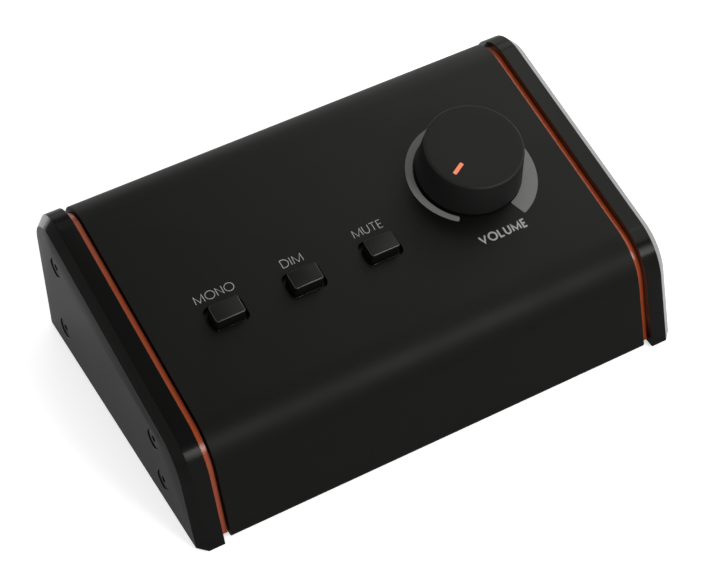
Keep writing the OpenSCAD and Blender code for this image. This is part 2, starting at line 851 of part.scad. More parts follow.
module pot_nut() {
    color(zinc) on_panel(knob_x, knob_u) translate([0, 0, washer_t]) difference() {
        cylinder(h = pot_nut_h, d = pot_nut_w / cos(30), $fn = hex);
        translate([0, 0, -over]) cylinder(h = pot_nut_h + 2 * over, d = bushing_dia + 2 * fit_clear);
    }
}

module pot_can() {
    top = -cover_t - pot_plate_t;
    color(steel) on_panel(knob_x, knob_u) difference() {
        translate([0, 0, -board_drop]) cylinder(h = board_drop + top, d = pot_can_dia);
        translate([0, 0, wiper_z - wiper_t - wiper_room])
            cylinder(h = wiper_t + 2 * wiper_room, d = wiper_dia + 2 * wiper_room);
        translate([0, 0, wiper_z]) cylinder(h = top - wiper_z + over, d = shaft_hole_dia);
    }
}

// ---- Push buttons and switches ----

module push_button(x) {
    rib_w = plunger_w + 2 * button_wall;
    color(soft_black) on_panel(x, button_u) difference() {
        union() {
            translate([0, 0, button_h])
                bevelled(box_points(button_w, button_l), [for (i = [0:3]) button_r],
                    button_h - rim_low, button_bevel, [0:3]);
            translate([0, 0, rim_low]) linear_extrude(button_rim_h)
                rounded_box(cut_w + 2 * button_rim_w, cut_l + 2 * button_rim_w, cut_r);
        }
        translate([0, 0, rim_low - over]) linear_extrude(button_pocket_z - rim_low + over)
            difference() {
                rounded_box(button_w - 2 * button_wall, button_l - 2 * button_wall, button_r / 2);
                square([rib_w, button_l], center = true);
            }
        translate([0, 0, rim_low - over]) linear_extrude(button_pocket_z - rim_low + over)
            square(plunger_w + 2 * fit_clear, center = true);
    }
}

module plunger(x) {
    color("white") on_panel(x, button_u) {
        translate([-plunger_w / 2, -plunger_w / 2, collar_top - collar_t])
            cube([plunger_w, plunger_w, button_pocket_z - collar_top + collar_t]);
        translate([-collar_w / 2, -collar_w / 2, collar_top - collar_t])
            cube([collar_w, collar_w, collar_t]);
    }
}

module switch_body(x) {
    mouth = plunger_w + 4 * run_clear;
    color("dimgray") on_panel(x, button_u) difference() {
        translate([-switch_w / 2, -switch_w / 2, -board_drop]) cube([switch_w, switch_w, switch_h]);
        translate([-chamber_w / 2, -chamber_w / 2, chamber_low])
            cube([chamber_w, chamber_w, chamber_top - chamber_low]);
        translate([-mouth / 2, -mouth / 2, chamber_low]) cube([mouth, mouth, board_drop]);
    }
}

module mono_button() {
    push_button(button_places[0]);
}

module dim_button() {
    push_button(button_places[1]);
}

module mute_button() {
    push_button(button_places[2]);
}

module mono_plunger() {
    plunger(button_places[0]);
}

module dim_plunger() {
    plunger(button_places[1]);
}

module mute_plunger() {
    plunger(button_places[2]);
}

module mono_switch() {
    switch_body(button_places[0]);
}

module dim_switch() {
    switch_body(button_places[1]);
}

module mute_switch() {
    switch_body(button_places[2]);
}

// ---- Boards and cable ----

module at_board_fixings() {
    for (x = [board_x0 + fixing_in, board_x1 - fixing_in])
        for (u = [board_u0 + fixing_in, board_u1 - fixing_in])
            on_panel(x, u) children();
}

module control_board() {
    color(board_green) difference() {
        on_panel(board_x0, board_u0) translate([0, 0, -board_drop - board_t])
            cube([board_x1 - board_x0, board_u1 - board_u0, board_t]);
        at_board_fixings() translate([0, 0, -board_drop - board_t]) through_hole(board_t);
    }
}

module board_standoffs() {
    color(steel) at_board_fixings() translate([0, 0, -board_drop]) difference() {
        cylinder(h = board_drop - cover_t, d = standoff_w / cos(30), $fn = hex);
        translate([0, 0, -over]) cylinder(h = board_screw_l + over, d = small_dia + 2 * fit_clear);
    }
}

module board_screws() {
    color(zinc) at_board_fixings() translate([0, 0, -board_drop - board_t])
        pan_screw(small_dia, board_screw_l);
}

module control_header() {
    color(soft_black) on_panel(header_x, button_u + header_u)
        translate([-header_w / 2, -header_d / 2, -board_drop - board_t - header_h])
            cube([header_w, header_d, header_h]);
}

module rear_board() {
    reach = 1.5 * socket_pitch + socket_w / 2;
    color(board_green) translate([-reach, rear_board_y, socket_z - socket_l / 2])
        cube([2 * reach, board_t, socket_l]);
}

module rear_header() {
    color(soft_black)
        translate([header_x - header_w / 2, rear_board_y - header_h, ribbon_end()[1] - header_d / 2])
            cube([header_w, header_h, header_d]);
}

// The ribbon's middle line in the side view, from the control board's header to the rear header
function ribbon_start() = [
    corner_y + (button_u + header_u) * cos(slope) + ribbon_top() * sin(slope),
    corner_z + (button_u + header_u) * sin(slope) - ribbon_top() * cos(slope)
];
function ribbon_top() = cover_inset + board_drop + board_t + header_h;
function ribbon_end() = [
    rear_board_y - header_h,
    ribbon_start()[1] - (ribbon_drop + ribbon_r * tan((90 - slope) / 2)) * cos(slope)
];

// The side view of all that lies on the inner side of the bent ribbon's face, which is off
// outside its middle line, up to past beyond its two ends
module ribbon_side(off, past) {
    start = ribbon_start();
    end = ribbon_end();
    knee = [start[0] + (start[1] - end[1]) * tan(slope), end[1]];
    rear = end[0] + past;
    rounded([
        start - [sin(slope), -cos(slope)] * past - [cos(slope), sin(slope)] * off,
        knee + [(sin(slope) - 1) / cos(slope), -1] * off,
        [rear, end[1] - off],
        [rear, start[1] + (past + (rear - start[0]) * sin(slope)) / cos(slope)]
    ], [0, ribbon_r + off, 0, 0]);
}

// The ribbon leaves the control board's header downwards, bends once and enters the rear header
module ribbon_cable() {
    half = header_w / 2 - ribbon_in;
    color("silver") slab(header_x - half, header_x + half) difference() {
        ribbon_side(ribbon_t / 2, 0);
        ribbon_side(-ribbon_t / 2, over);
    }
}

// ---- Rear sockets ----

function socket_places() = [for (i = [-1.5:1:1.5]) i * socket_pitch];
input_places = [socket_places()[0], socket_places()[1]];
output_places = [socket_places()[2], socket_places()[3]];

module at_socket_fixings() {
    for (side = [-1, 1])
        translate([side * socket_screw_x, -side * socket_screw_z, 0]) children();
}

// The three contact places: two near the middle line and one below
module at_contacts() {
    for (angle = [20, 160, 270])
        rotate([0, 0, angle]) translate([contact_r, 0, 0]) children();
}

module socket_shell() {
    linear_extrude(socket_flange_t) rounded_box(socket_w, socket_l, socket_r);
    translate([0, 0, -barrel_l]) cylinder(h = barrel_l, d = barrel_dia);
}

// An input takes a three-pole round plug or a 6.35 mm jack plug in the middle
module input_socket(x) {
    face = socket_flange_t;
    color(soft_black) on_rear(x, socket_z) difference() {
        socket_shell();
        translate([0, 0, face - groove_deep]) tube(groove_deep + over, groove_dia, core_dia);
        translate([0, 0, face - jack_deep]) cylinder(h = jack_deep + over, d = jack_dia);
        at_contacts() translate([0, 0, face - groove_deep])
            cylinder(h = groove_deep + over, d = contact_hole_dia);
        at_socket_fixings() translate([0, 0, face]) flat_seat(small_dia, flat_dia, face + over, 0);
    }
}

// An output is a cup with three pins and a key slot at the top
module output_socket(x) {
    face = socket_flange_t;
    color(zinc) on_rear(x, socket_z) difference() {
        socket_shell();
        translate([0, 0, face - cup_deep]) cylinder(h = cup_deep + over, d = cup_dia);
        translate([-key_w / 2, 0, face - cup_deep / 2]) cube([key_w, cup_dia / 2 + key_deep, cup_deep]);
        at_socket_fixings() translate([0, 0, face]) flat_seat(small_dia, flat_dia, face + over, 0);
    }
}

module input_left() {
    input_socket(input_places[0]);
}

module input_right() {
    input_socket(input_places[1]);
}

module output_left() {
    output_socket(output_places[0]);
}

module output_right() {
    output_socket(output_places[1]);
}

module input_contacts() {
    low = socket_flange_t - groove_deep;
    outer = contact_hole_dia - 2 * fit_clear;
    color(brass)
        for (x = input_places)
            on_rear(x, socket_z) at_contacts() translate([0, 0, low])
                tube(groove_deep - contact_sink, outer, outer - 2 * contact_wall);
}

module output_pins() {
    low = socket_flange_t - cup_deep;
    l = cup_deep - contact_sink;
    tip = pin_dia / 4;
    color(brass)
        for (x = output_places)
            on_rear(x, socket_z) at_contacts() translate([0, 0, low]) {
                cylinder(h = l - tip, d = pin_dia);
                translate([0, 0, l - tip]) cylinder(h = tip, d1 = pin_dia, d2 = pin_dia / 2);
            }
}

module socket_screws() {
    color(zinc)
        for (x = socket_places())
            on_rear(x, socket_z) at_socket_fixings() translate([0, 0, socket_flange_t])
                flat_screw(small_dia, flat_dia, flat_screw_l, small_hex_w);
}

left_cheek();
right_cheek();
left_accent_plate();
right_accent_plate();
left_side_frame();
right_side_frame();
left_press_nuts();
right_press_nuts();
left_cheek_screws();
right_cheek_screws();
top_cover();
base_plate();
rear_panel();
rubber_feet();
base_screws();
lip_screws();
volume_knob();
knob_hub();
knob_pointer();
pot_shaft();
pot_wiper();
pot_bushing();
pot_washer();
pot_nut();
pot_can();
mono_button();
dim_button();
mute_button();
mono_plunger();
dim_plunger();
mute_plunger();
mono_switch();
dim_switch();
mute_switch();
control_board();
board_standoffs();
board_screws();
control_header();
rear_board();
rear_header();
ribbon_cable();
input_left();
input_right();
output_left();
output_right();
input_contacts();
output_pins();
socket_screws();
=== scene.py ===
"""Looks for a desktop studio monitor controller: matt black body and cheeks, orange accent edges,
a soft-touch volume knob, three push buttons, printed dial ring and words, and rear sockets.
Sizes are in millimetres unless a comment says otherwise."""
import json
import math

import bmesh
import bpy
import numpy as np
from mathutils import Matrix


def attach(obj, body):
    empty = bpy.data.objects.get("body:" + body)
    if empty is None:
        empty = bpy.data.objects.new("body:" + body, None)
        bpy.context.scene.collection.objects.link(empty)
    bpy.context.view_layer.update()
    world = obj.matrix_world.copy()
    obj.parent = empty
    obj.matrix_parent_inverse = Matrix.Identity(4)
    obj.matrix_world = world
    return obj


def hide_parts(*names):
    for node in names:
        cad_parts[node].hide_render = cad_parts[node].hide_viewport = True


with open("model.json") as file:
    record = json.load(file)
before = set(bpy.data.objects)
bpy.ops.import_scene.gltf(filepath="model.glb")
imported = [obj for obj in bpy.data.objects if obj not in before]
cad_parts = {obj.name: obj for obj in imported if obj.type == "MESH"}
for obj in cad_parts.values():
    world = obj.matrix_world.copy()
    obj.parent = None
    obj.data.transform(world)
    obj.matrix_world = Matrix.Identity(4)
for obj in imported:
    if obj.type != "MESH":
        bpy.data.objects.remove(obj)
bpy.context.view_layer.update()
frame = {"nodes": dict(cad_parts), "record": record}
nodes = frame["nodes"]
slot_of = {s["node"]: s["material_slot"] for s in frame["record"]["subparts"]}
body_of = {n: b for b, ns in frame["record"]["behaviour"]["bodies"].items() for n in ns}

MM = 0.001
# Rise of the panel, and lean of the front from upright
SLOPE = math.radians(12.7)
LEAN = math.radians(15.4)
# A cheek's depth, the level of its foot, and the height that its sloped edge reaches behind
DEPTH, LIFT, REAR_H = 128.7, 1.1, 67.0
# How far the cover's face lies below the cheek's edge
FACE_INSET = 0.6
# Place of the knob's axis, across and up the slope
KNOB_X, KNOB_U = 50.25, 59.8
# Height of the print above the panel's face
PRINT_H = 0.02
# Cover's front bottom fold: level and outer radius as built, then as finished
COVER_FOLD = (3.0, 2.6, 1.4, 1.6)
# How far the accent plates' feet are drawn down
ACCENT_DROP = 0.9


# ---------------------------------------------------------------- places

def front_y(z, inset):
    """y of the leaning front edge at height z: a line at the lean angle, moved in by inset."""
    return -DEPTH / 2 + (z - LIFT) * math.tan(LEAN) + inset / math.cos(LEAN)


def corner_z(inset):
    """Height where the front line and the slope line cross, both moved in by inset."""
    ta, tb = math.tan(LEAN), math.tan(SLOPE)
    return (LIFT + REAR_H - DEPTH * tb - LIFT * ta * tb
            + inset * tb / math.cos(LEAN) - inset / math.cos(SLOPE)) / (1 - ta * tb)


CORNER = (front_y(corner_z(0), 0), corner_z(0))


def on_panel(x, u, h):
    """World points, in metres, of panel places: x across, u up the slope from the corner line and
    h out of the panel's face, as corner + u * (cos, sin) + (h - inset) * (-sin, cos)."""
    x, u, h = np.broadcast_arrays(np.asarray(x, float), np.asarray(u, float), np.asarray(h, float))
    n = h - FACE_INSET
    y = CORNER[0] + u * math.cos(SLOPE) - n * math.sin(SLOPE)
    z = CORNER[1] + u * math.sin(SLOPE) + n * math.cos(SLOPE)
    return np.stack([x, y, z], -1) * MM


def stand(right, up, back, place):
    """The matrix of an object at a place, in metres, with its x right, its y up and its z back."""
    return Matrix([[right[i], up[i], back[i], place[i]] for i in range(3)] + [[0, 0, 0, 1]])


# ---------------------------------------------------------------- mesh makers

def in_scene(name, data):
    """An object at the origin that holds a mesh, a lamp or a camera."""
    made = bpy.data.objects.new(name, data)
    bpy.context.scene.collection.objects.link(made)
    return made


def smoothed(mesh, sharp):
    """Smooth shading, except at edges sharper than the given angle in degrees."""
    mesh.polygons.foreach_set("use_smooth", np.ones(len(mesh.polygons), bool))
    mesh.set_sharp_from_angle(angle=math.radians(sharp))


def piece(name, points, faces, body, slot, material, sharp=35.0):
    """A mesh object from an array of points and lists of corner indices, riding on a body."""
    mesh = bpy.data.meshes.new(name)
    mesh.from_pydata(np.asarray(points, float).reshape(-1, 3).tolist(), [],
                     np.asarray(faces, int).tolist())
    mesh.update()
    made = in_scene(name, mesh)
    smoothed(mesh, sharp)
    mesh.materials.append(material)
    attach(made, body)
    return made


def grid_faces(rows, cols, close_rows=False, close_cols=False):
    """Quads of a rows by cols grid of points, as i, i+1 and the same in the next row."""
    r = np.arange(rows if close_rows else rows - 1)
    c = np.arange(cols if close_cols else cols - 1)
    i, j = np.meshgrid(r, c, indexing="ij")
    i2, j2 = (i + 1) % rows, (j + 1) % cols
    return np.stack([i * cols + j, i * cols + j2, i2 * cols + j2, i2 * cols + j], -1).reshape(-1, 4)


def revolved(profile, steps=192):
    """Points of a closed half outline (radius, height) turned about the vertical: a torus grid
    (r cos t, r sin t, h) with t from 0 to 360 degrees."""
    profile = np.asarray(profile, float)
    t = np.linspace(0, 2 * math.pi, steps, endpoint=False)
    r, h = profile[:, 0], profile[:, 1]
    level = np.broadcast_to(h, (steps, len(h)))
    points = np.stack([np.outer(np.cos(t), r), np.outer(np.sin(t), r), level], -1)
    return points.reshape(-1, 3), grid_faces(steps, len(profile), close_rows=True, close_cols=True)


def arc(cx, cy, r, a0, a1, steps):
    """Points of a circle about (cx, cy) from angle a0 to a1, in degrees, as centre plus r (cos a,
    sin a)."""
    a = np.radians(np.linspace(a0, a1, steps))
    return np.stack([cx + r * np.cos(a), cy + r * np.sin(a)], -1)


def tight_fold(points):
    """The cover's points with its front bottom fold drawn tighter and lower. A point of the fold's
    outer arc, c + r * e, goes to c2 + r2 * e, where both arcs touch the front face and c2 lies r2
    above the new floor; the outer face of the flange goes down to that floor."""
    floor, r, floor2, r2 = COVER_FOLD
    c = np.array([front_y(floor + r, FACE_INSET + r), floor + r])
    c2 = np.array([front_y(floor2 + r2, FACE_INSET + r2), floor2 + r2])
    moved = points / MM
    arm = moved[:, 1:] - c
    on_arc = np.abs(np.hypot(arm[:, 0], arm[:, 1]) - r) < 0.03
    bend = on_arc & (arm[:, 0] < 0.01) & (arm[:, 1] < r / 2)
    flange = (np.abs(moved[:, 2] - floor) < 0.01) & ~bend
    moved[bend, 1:] = c2 + arm[bend] * (r2 / r)
    moved[flange, 2] = floor2
    return moved * MM


def longer_foot(points):
    """An accent plate's points with its lowest ones drawn down by ACCENT_DROP."""
    moved = points.copy()
    moved[points[:, 2] < points[:, 2].min() + 0.1 * MM, 2] -= ACCENT_DROP * MM
    return moved


def softened(name, width, reshape=None):
    """A finished copy of a CAD node: its loose triangles are merged, flat areas are joined, its
    points go through reshape, where one is given, and every sharp edge is rounded by width."""
    mesh = nodes[name].data.copy()
    mesh.name = name + "_finished"
    shape = bmesh.new()
    shape.from_mesh(mesh)
    bmesh.ops.remove_doubles(shape, verts=shape.verts, dist=2e-6)
    bmesh.ops.dissolve_limit(shape, angle_limit=math.radians(0.3), verts=shape.verts,
                             edges=shape.edges, use_dissolve_boundaries=False)
    shape.to_mesh(mesh)
    shape.free()
    if reshape:
        points = np.empty(len(mesh.vertices) * 3)
        mesh.vertices.foreach_get("co", points)
        mesh.vertices.foreach_set("co", reshape(points.reshape(-1, 3)).ravel())
        mesh.update()
    made = in_scene(name + "_finished", mesh)
    smoothed(mesh, 35.0)
    edge = made.modifiers.new("rounded_edges", "BEVEL")
    edge.width = width * MM
    edge.segments = 2
    edge.limit_method = "ANGLE"
    edge.angle_limit = math.radians(32.0)
    edge.use_clamp_overlap = True
    edge.harden_normals = True
    mesh.materials.clear()
    mesh.materials.append(finishes[slot_of[name]])
    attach(made, body_of[name])
    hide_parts(name)


# ---------------------------------------------------------------- node makers

def add(tree, kind, **values):
    """A shader node of a kind. Socket names are given with _ for each space."""
    node = tree.nodes.new("ShaderNode" + kind)
    for socket, value in values.items():
        node.inputs[socket.replace("_", " ")].default_value = value
    return node


def combined(tree, operation, first, second=0.0, clamp=False):
    """The result of a Math node on two values, each a socket or a number."""
    node = add(tree, "Math")
    node.operation = operation
    node.use_clamp = clamp
    for place, value in enumerate((first, second)):
        if isinstance(value, bpy.types.NodeSocket):
            tree.links.new(value, node.inputs[place])
        else:
            node.inputs[place].default_value = value
    return node.outputs[0]


def mapped(tree, value, start, stop, low=0.0, high=1.0, interpolation="LINEAR"):
    """The result of a Map Range node that takes a socket's start to low and its stop to high."""
    node = add(tree, "MapRange", From_Min=start, From_Max=stop, To_Min=low, To_Max=high)
    node.interpolation_type = interpolation
    tree.links.new(value, node.inputs["Value"])
    return node.outputs["Result"]


def new_group(name, inputs, outputs):
    """An empty node group with named sockets, each given as its name and kind."""
    group = bpy.data.node_groups.new(name, "ShaderNodeTree")
    for way, sockets in (("INPUT", inputs), ("OUTPUT", outputs)):
        for title, kind in sockets.items():
            group.interface.new_socket(title, in_out=way, socket_type="NodeSocket" + kind)
    return group


def grain_group():
    """Fine coating grain: Tone is a fine noise and Normal is the same noise as a shallow bump.
    Cloud is a coarse noise."""
    group = new_group("coating_grain", {"Size": "Float", "Depth": "Float"},
                      {"Tone": "Float", "Cloud": "Float", "Normal": "Vector"})
    link = group.links.new
    into, out = group.nodes.new("NodeGroupInput"), group.nodes.new("NodeGroupOutput")
    place = add(group, "TexCoord")
    grain = add(group, "TexNoise", Detail=3.0, Roughness=0.6)
    cloud = add(group, "TexNoise", Scale=34.0, Detail=4.0)
    bump = add(group, "Bump", Distance=0.00002)
    link(place.outputs["Object"], grain.inputs["Vector"])
    link(place.outputs["Object"], cloud.inputs["Vector"])
    link(into.outputs["Size"], grain.inputs["Scale"])
    link(into.outputs["Depth"], bump.inputs["Strength"])
    link(grain.outputs["Fac"], bump.inputs["Height"])
    link(grain.outputs["Fac"], out.inputs["Tone"])
    link(cloud.outputs["Fac"], out.inputs["Cloud"])
    link(bump.outputs["Normal"], out.inputs["Normal"])
    return group


# In metres: how far from the middle plane the inward faces lie at most, and the heights between
# which their coat comes in
INNER = 0.094
INNER_FOOT = (0.005, 0.012)


def slanted_group(axis, rise, fall):
    """Masks from the part of the normal along one axis, without sign: Rim is 1 below the fall
    places and 0 above them, and Slanted is Rim where that part is above the rise places. Inner is
    1 less Rim, only nearer than INNER to the middle plane across that axis, and fades out towards
    the foot between the two INNER_FOOT heights."""
    group = new_group("slanted_about_" + axis.lower(), {},
                      {"Slanted": "Float", "Rim": "Float", "Inner": "Float"})
    link = group.links.new
    out = group.nodes.new("NodeGroupOutput")
    place = add(group, "TexCoord")
    facing, spot = add(group, "SeparateXYZ"), add(group, "SeparateXYZ")
    link(place.outputs["Normal"], facing.inputs[0])
    link(place.outputs["Object"], spot.inputs[0])
    part = combined(group, "ABSOLUTE", facing.outputs[axis])
    risen = mapped(group, part, *rise)
    rim = mapped(group, part, *fall, 1.0, 0.0)
    near = combined(group, "LESS_THAN", combined(group, "ABSOLUTE", spot.outputs[axis]), INNER)
    inner = combined(group, "SUBTRACT", near, rim, clamp=True)
    above = mapped(group, spot.outputs["Z"], *INNER_FOOT)
    link(combined(group, "MULTIPLY", risen, rim), out.inputs["Slanted"])
    link(rim, out.inputs["Rim"])
    link(combined(group, "MULTIPLY", inner, above), out.inputs["Inner"])
    return group


GRAIN = grain_group()
SLANTED = {
    "X": slanted_group("X", (0.4, 0.55), (0.84, 0.95)),
    "Z": slanted_group("Z", (0.3, 0.45), (0.88, 0.95)),
}


# ---------------------------------------------------------------- finishes

# Noise values between which colour and roughness run from one end to the other
NOISE_SPAN = (0.3, 0.7)
# Layer Weight's facing between which the slanted edges' coat comes in at a low angle
LOW_ANGLE = (0.45, 0.58)
PLAIN = (1.0, 1.0, 1.0)
WARM = (1.0, 1.0, 0.9)


def finish(name, dark, light, rough=(0.4, 0.55), metallic=0.0, specular=0.5, size=2600.0, depth=0.3,
           coat=0.0, coat_rough=0.2, coat_ior=1.5, tint=PLAIN, edges=None, edge_coat=1.0,
           rim_coat=0.0, inner_coat=0.0):
    """A finish whose colour runs from dark to light and roughness from low to high with the grain.
    With edges, an axis, the slanted edges about that axis carry a clear coat. Where rim_coat is
    above 0 that coat shows on the slanted edges at a low angle only, the rest of the rim has the
    given small share of it, and the flat faces that look inward have inner_coat of it."""
    material = bpy.data.materials.new(name)
    material.use_nodes = True
    tree = material.node_tree
    link = tree.links.new
    shader = tree.nodes["Principled BSDF"]
    for socket, value in (("Metallic", metallic), ("Specular IOR Level", specular),
                          ("Specular Tint", (*tint, 1)), ("Coat Weight", coat),
                          ("Coat Roughness", coat_rough), ("Coat IOR", coat_ior)):
        shader.inputs[socket].default_value = value
    grain = add(tree, "Group")
    grain.node_tree = GRAIN
    grain.inputs["Size"].default_value = size
    grain.inputs["Depth"].default_value = depth
    shade = add(tree, "ValToRGB")
    for stop, at, colour in zip(shade.color_ramp.elements, NOISE_SPAN, (dark, light)):
        stop.position = at
        stop.color = (*colour, 1)
    link(grain.outputs["Tone"], shade.inputs["Fac"])
    link(shade.outputs["Color"], shader.inputs["Base Color"])
    link(mapped(tree, grain.outputs["Cloud"], *NOISE_SPAN, *rough), shader.inputs["Roughness"])
    link(grain.outputs["Normal"], shader.inputs["Normal"])
    if not edges:
        return material
    mask = add(tree, "Group")
    mask.node_tree = SLANTED[edges]
    if rim_coat:
        low = add(tree, "LayerWeight", Blend=0.5)
        edge_coat = mapped(tree, low.outputs["Facing"], *LOW_ANGLE)
    weight = combined(tree, "MULTIPLY", mask.outputs["Slanted"], edge_coat)
    if rim_coat:
        for part, share in (("Rim", rim_coat), ("Inner", inner_coat)):
            weight = combined(tree, "MAXIMUM", weight,
                              combined(tree, "MULTIPLY", mask.outputs[part], share))
    link(weight, shader.inputs["Coat Weight"])
    return material


def grey(a):
    """A barely warm grey."""
    return (a, a, a * 0.98)


finishes = {
    "cheek": finish("black_coated_cheek", grey(0.0036), grey(0.0052), (0.2, 0.25), specular=0.035,
                    coat_rough=0.14, coat_ior=4.0, tint=WARM, edges="X", rim_coat=0.011,
                    inner_coat=0.4),
    "accent": finish("orange_coated_edge", (0.33, 0.05, 0.011), (0.4, 0.066, 0.015), (0.18, 0.24),
                     specular=0.3),
    "cover": finish("black_coated_cover", grey(0.0022), grey(0.0034), (0.42, 0.48), specular=0.09,
                    tint=WARM),
    "zinc_sheet": finish("black_zinc_sheet", grey(0.008), grey(0.014), (0.34, 0.44), metallic=1.0,
                         size=900.0),
    "zinc_steel": finish("zinc_plated_steel", grey(0.4), grey(0.52), (0.28, 0.4), metallic=1.0,
                         size=1800.0),
    "black_screw": finish("black_oxide_screw", grey(0.006), grey(0.01), (0.3, 0.4), specular=0.14),
    "rubber": finish("foot_rubber", grey(0.012), grey(0.02), (0.7, 0.82), specular=0.3,
                     size=1500.0, depth=0.5),
    "knob": finish("soft_touch_knob", grey(0.013), grey(0.017), (0.42, 0.48), specular=0.035,
                   size=3200.0, depth=0.2, coat_rough=0.42, coat_ior=1.25, tint=WARM, edges="Z",
                   edge_coat=0.5),
    "brass": finish("turned_brass", (0.55, 0.36, 0.12), (0.7, 0.5, 0.2), (0.25, 0.38),
                    metallic=1.0, size=1400.0),
    "pointer": finish("orange_inlay", (0.86, 0.17, 0.05), (0.95, 0.23, 0.08), (0.4, 0.5)),
    "bright_steel": finish("turned_steel", grey(0.45), grey(0.6), (0.2, 0.32), metallic=1.0,
                           size=1600.0),
    "button": finish("button_plastic", grey(0.004), grey(0.006), (0.4, 0.46), specular=0.1,
                     size=3200.0, depth=0.15, coat_rough=0.2, coat_ior=1.8, tint=WARM, edges="Z",
                     edge_coat=0.5),
    "switch_plunger": finish("pale_plunger", grey(0.55), grey(0.66), (0.4, 0.5)),
    "switch_case": finish("black_moulding", grey(0.006), grey(0.01), (0.5, 0.6), specular=0.08),
    "board": finish("green_solder_resist", (0.01, 0.07, 0.03), (0.018, 0.1, 0.045), (0.25, 0.35),
                    coat=0.3),
    "ribbon": finish("grey_ribbon", grey(0.3), grey(0.4), (0.45, 0.55), size=700.0),
    "socket_plastic": finish("socket_black", grey(0.011), grey(0.018), (0.34, 0.44)),
    "socket_metal": finish("satin_nickel", grey(0.3), grey(0.4), (0.28, 0.38), metallic=1.0,
                           size=1800.0),
    "contact": finish("plated_contact", (0.62, 0.42, 0.14), (0.78, 0.56, 0.22), (0.2, 0.3),
                      metallic=1.0),
}
ring_ink = finish("printed_grey_ink", grey(0.155), grey(0.18), (0.5, 0.6), specular=0.1)
word_ink = finish("printed_word_ink", grey(0.34), grey(0.4), (0.5, 0.6), specular=0.1)

for node_name, node in nodes.items():
    node.data.materials.clear()
    node.data.materials.append(finishes[slot_of[node_name]])


# ---------------------------------------------------------------- softened pieces

# Width of each node's rounded edges
EDGES = {
    "left_cheek": 0.35, "right_cheek": 0.35, "left_accent_plate": 0.2, "right_accent_plate": 0.2,
    "top_cover": 0.22, "base_plate": 0.2, "rear_panel": 0.2, "rubber_feet": 0.3,
    "input_left": 0.3, "input_right": 0.3, "output_left": 0.3, "output_right": 0.3,
    "left_cheek_screws": 0.12, "right_cheek_screws": 0.12, "base_screws": 0.12, "lip_screws": 0.1,
    "socket_screws": 0.1, "knob_pointer": 0.05,
    "mono_button": 0.2, "dim_button": 0.2, "mute_button": 0.2,
}
RESHAPED = {
    "top_cover": tight_fold,
    "left_accent_plate": longer_foot,
    "right_accent_plate": longer_foot,
}
for node_name, width in EDGES.items():
    softened(node_name, width, RESHAPED.get(node_name))


# ---------------------------------------------------------------- knob

def knob():
    """The knob as one revolved wall: a cone from foot to top with round edges, open below, with
    a sleeve round the hub. Every profile point is (radius, height above the panel)."""
    gap, high, foot, top = 1.2, 16.2, 20.1, 18.7
    foot_edge, top_edge, dish, axis = 0.35, 1.0, 0.05, 0.002
    ceiling, hub, hub_foot, sleeve, wall, wall_foot = 13.4, 4.54, 4.4, 6.0, 16.7, 18.1
    lean = math.degrees(math.atan((foot - top) / (high - gap)))
    profile = np.concatenate([
        arc(foot - foot_edge, gap + foot_edge, foot_edge, -90, -lean, 6),
        arc(top - top_edge, high - top_edge, top_edge, lean, 90, 14),
        [(12.0, high), (6.0, high - 0.8 * dish), (axis, high - dish)],
        [(axis, ceiling), (hub, ceiling), (hub, hub_foot), (sleeve, hub_foot), (sleeve, ceiling)],
        [(wall, ceiling), (wall_foot, gap)],
    ])
    points, faces = revolved(profile)
    return on_panel(KNOB_X + points[:, 0], KNOB_U + points[:, 1], points[:, 2]), faces


volume_knob = piece("volume_knob_finished", *knob(), "volume", "knob", finishes["knob"], 40.0)
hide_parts("volume_knob")


# ---------------------------------------------------------------- print on the panel

# The ring's outer radius at a few directions, in degrees, and then its inner radius
OUTER_TURN = np.array([231.0, 215, 180, 143, 90, 40, -3, -17, -31, -44, -56, -69])
OUTER_REACH = np.array([22.9, 23.1, 23.6, 23.5, 23.6, 24.0, 24.8, 25.4, 26.0, 26.5, 26.8, 26.9])
INNER_TURN = np.array([231.0, 120, 20, -69])
INNER_REACH = np.array([20.75, 20.75, 20.35, 20.2])


def dial_ring(steps=240, corner=0.7):
    """A flat crescent about the knob: the inner and outer radii follow lines through a few places,
    from the thin start to the broad end, clockwise. At both ends the two radii close in by a
    quarter circle of the corner's size."""
    start, sweep = OUTER_TURN[0], OUTER_TURN[0] - OUTER_TURN[-1]
    t = start - sweep * (1 - np.cos(np.linspace(0, math.pi, steps))) / 2
    outer = np.interp(-t, -OUTER_TURN, OUTER_REACH)
    inner = np.interp(-t, -INNER_TURN, INNER_REACH)
    a = np.radians(t)
    along = np.minimum(a[0] - a, a - a[-1]) * 23.5
    short = np.clip(1 - along / corner, 0, 1)
    cut = corner * (1 - np.sqrt(1 - short ** 2))
    rows = np.stack([inner + cut, outer - cut], 0)
    x, u = rows * np.cos(a), rows * np.sin(a)
    faces = grid_faces(2, steps)[:, ::-1]
    return on_panel(KNOB_X + x, KNOB_U + u, PRINT_H).reshape(-1, 3), faces


piece("dial_ring_print", *dial_ring(), "housing", None, ring_ink)


def stroke(path, width, closed=False):
    """A flat stroke along a path: each point is moved both ways along the mitre of its two edges,
    m = (n1 + n2) / (1 + n1 . n2), by half the width."""
    p = np.asarray(path, float)
    step = np.roll(p, -1, 0) - p
    step /= np.maximum(np.linalg.norm(step, axis=1, keepdims=True), 1e-9)
    normal = np.stack([-step[:, 1], step[:, 0]], -1)
    if not closed:
        normal[-1] = normal[-2]
    back = np.roll(normal, 1, 0)
    if not closed:
        back[0] = normal[0]
    mitre = (back + normal) / np.maximum(1 + (back * normal).sum(1, keepdims=True), 0.12)
    sides = np.stack([p - mitre * width / 2, p + mitre * width / 2], 0)
    return sides.reshape(-1, 2), grid_faces(2, len(p), close_cols=closed)


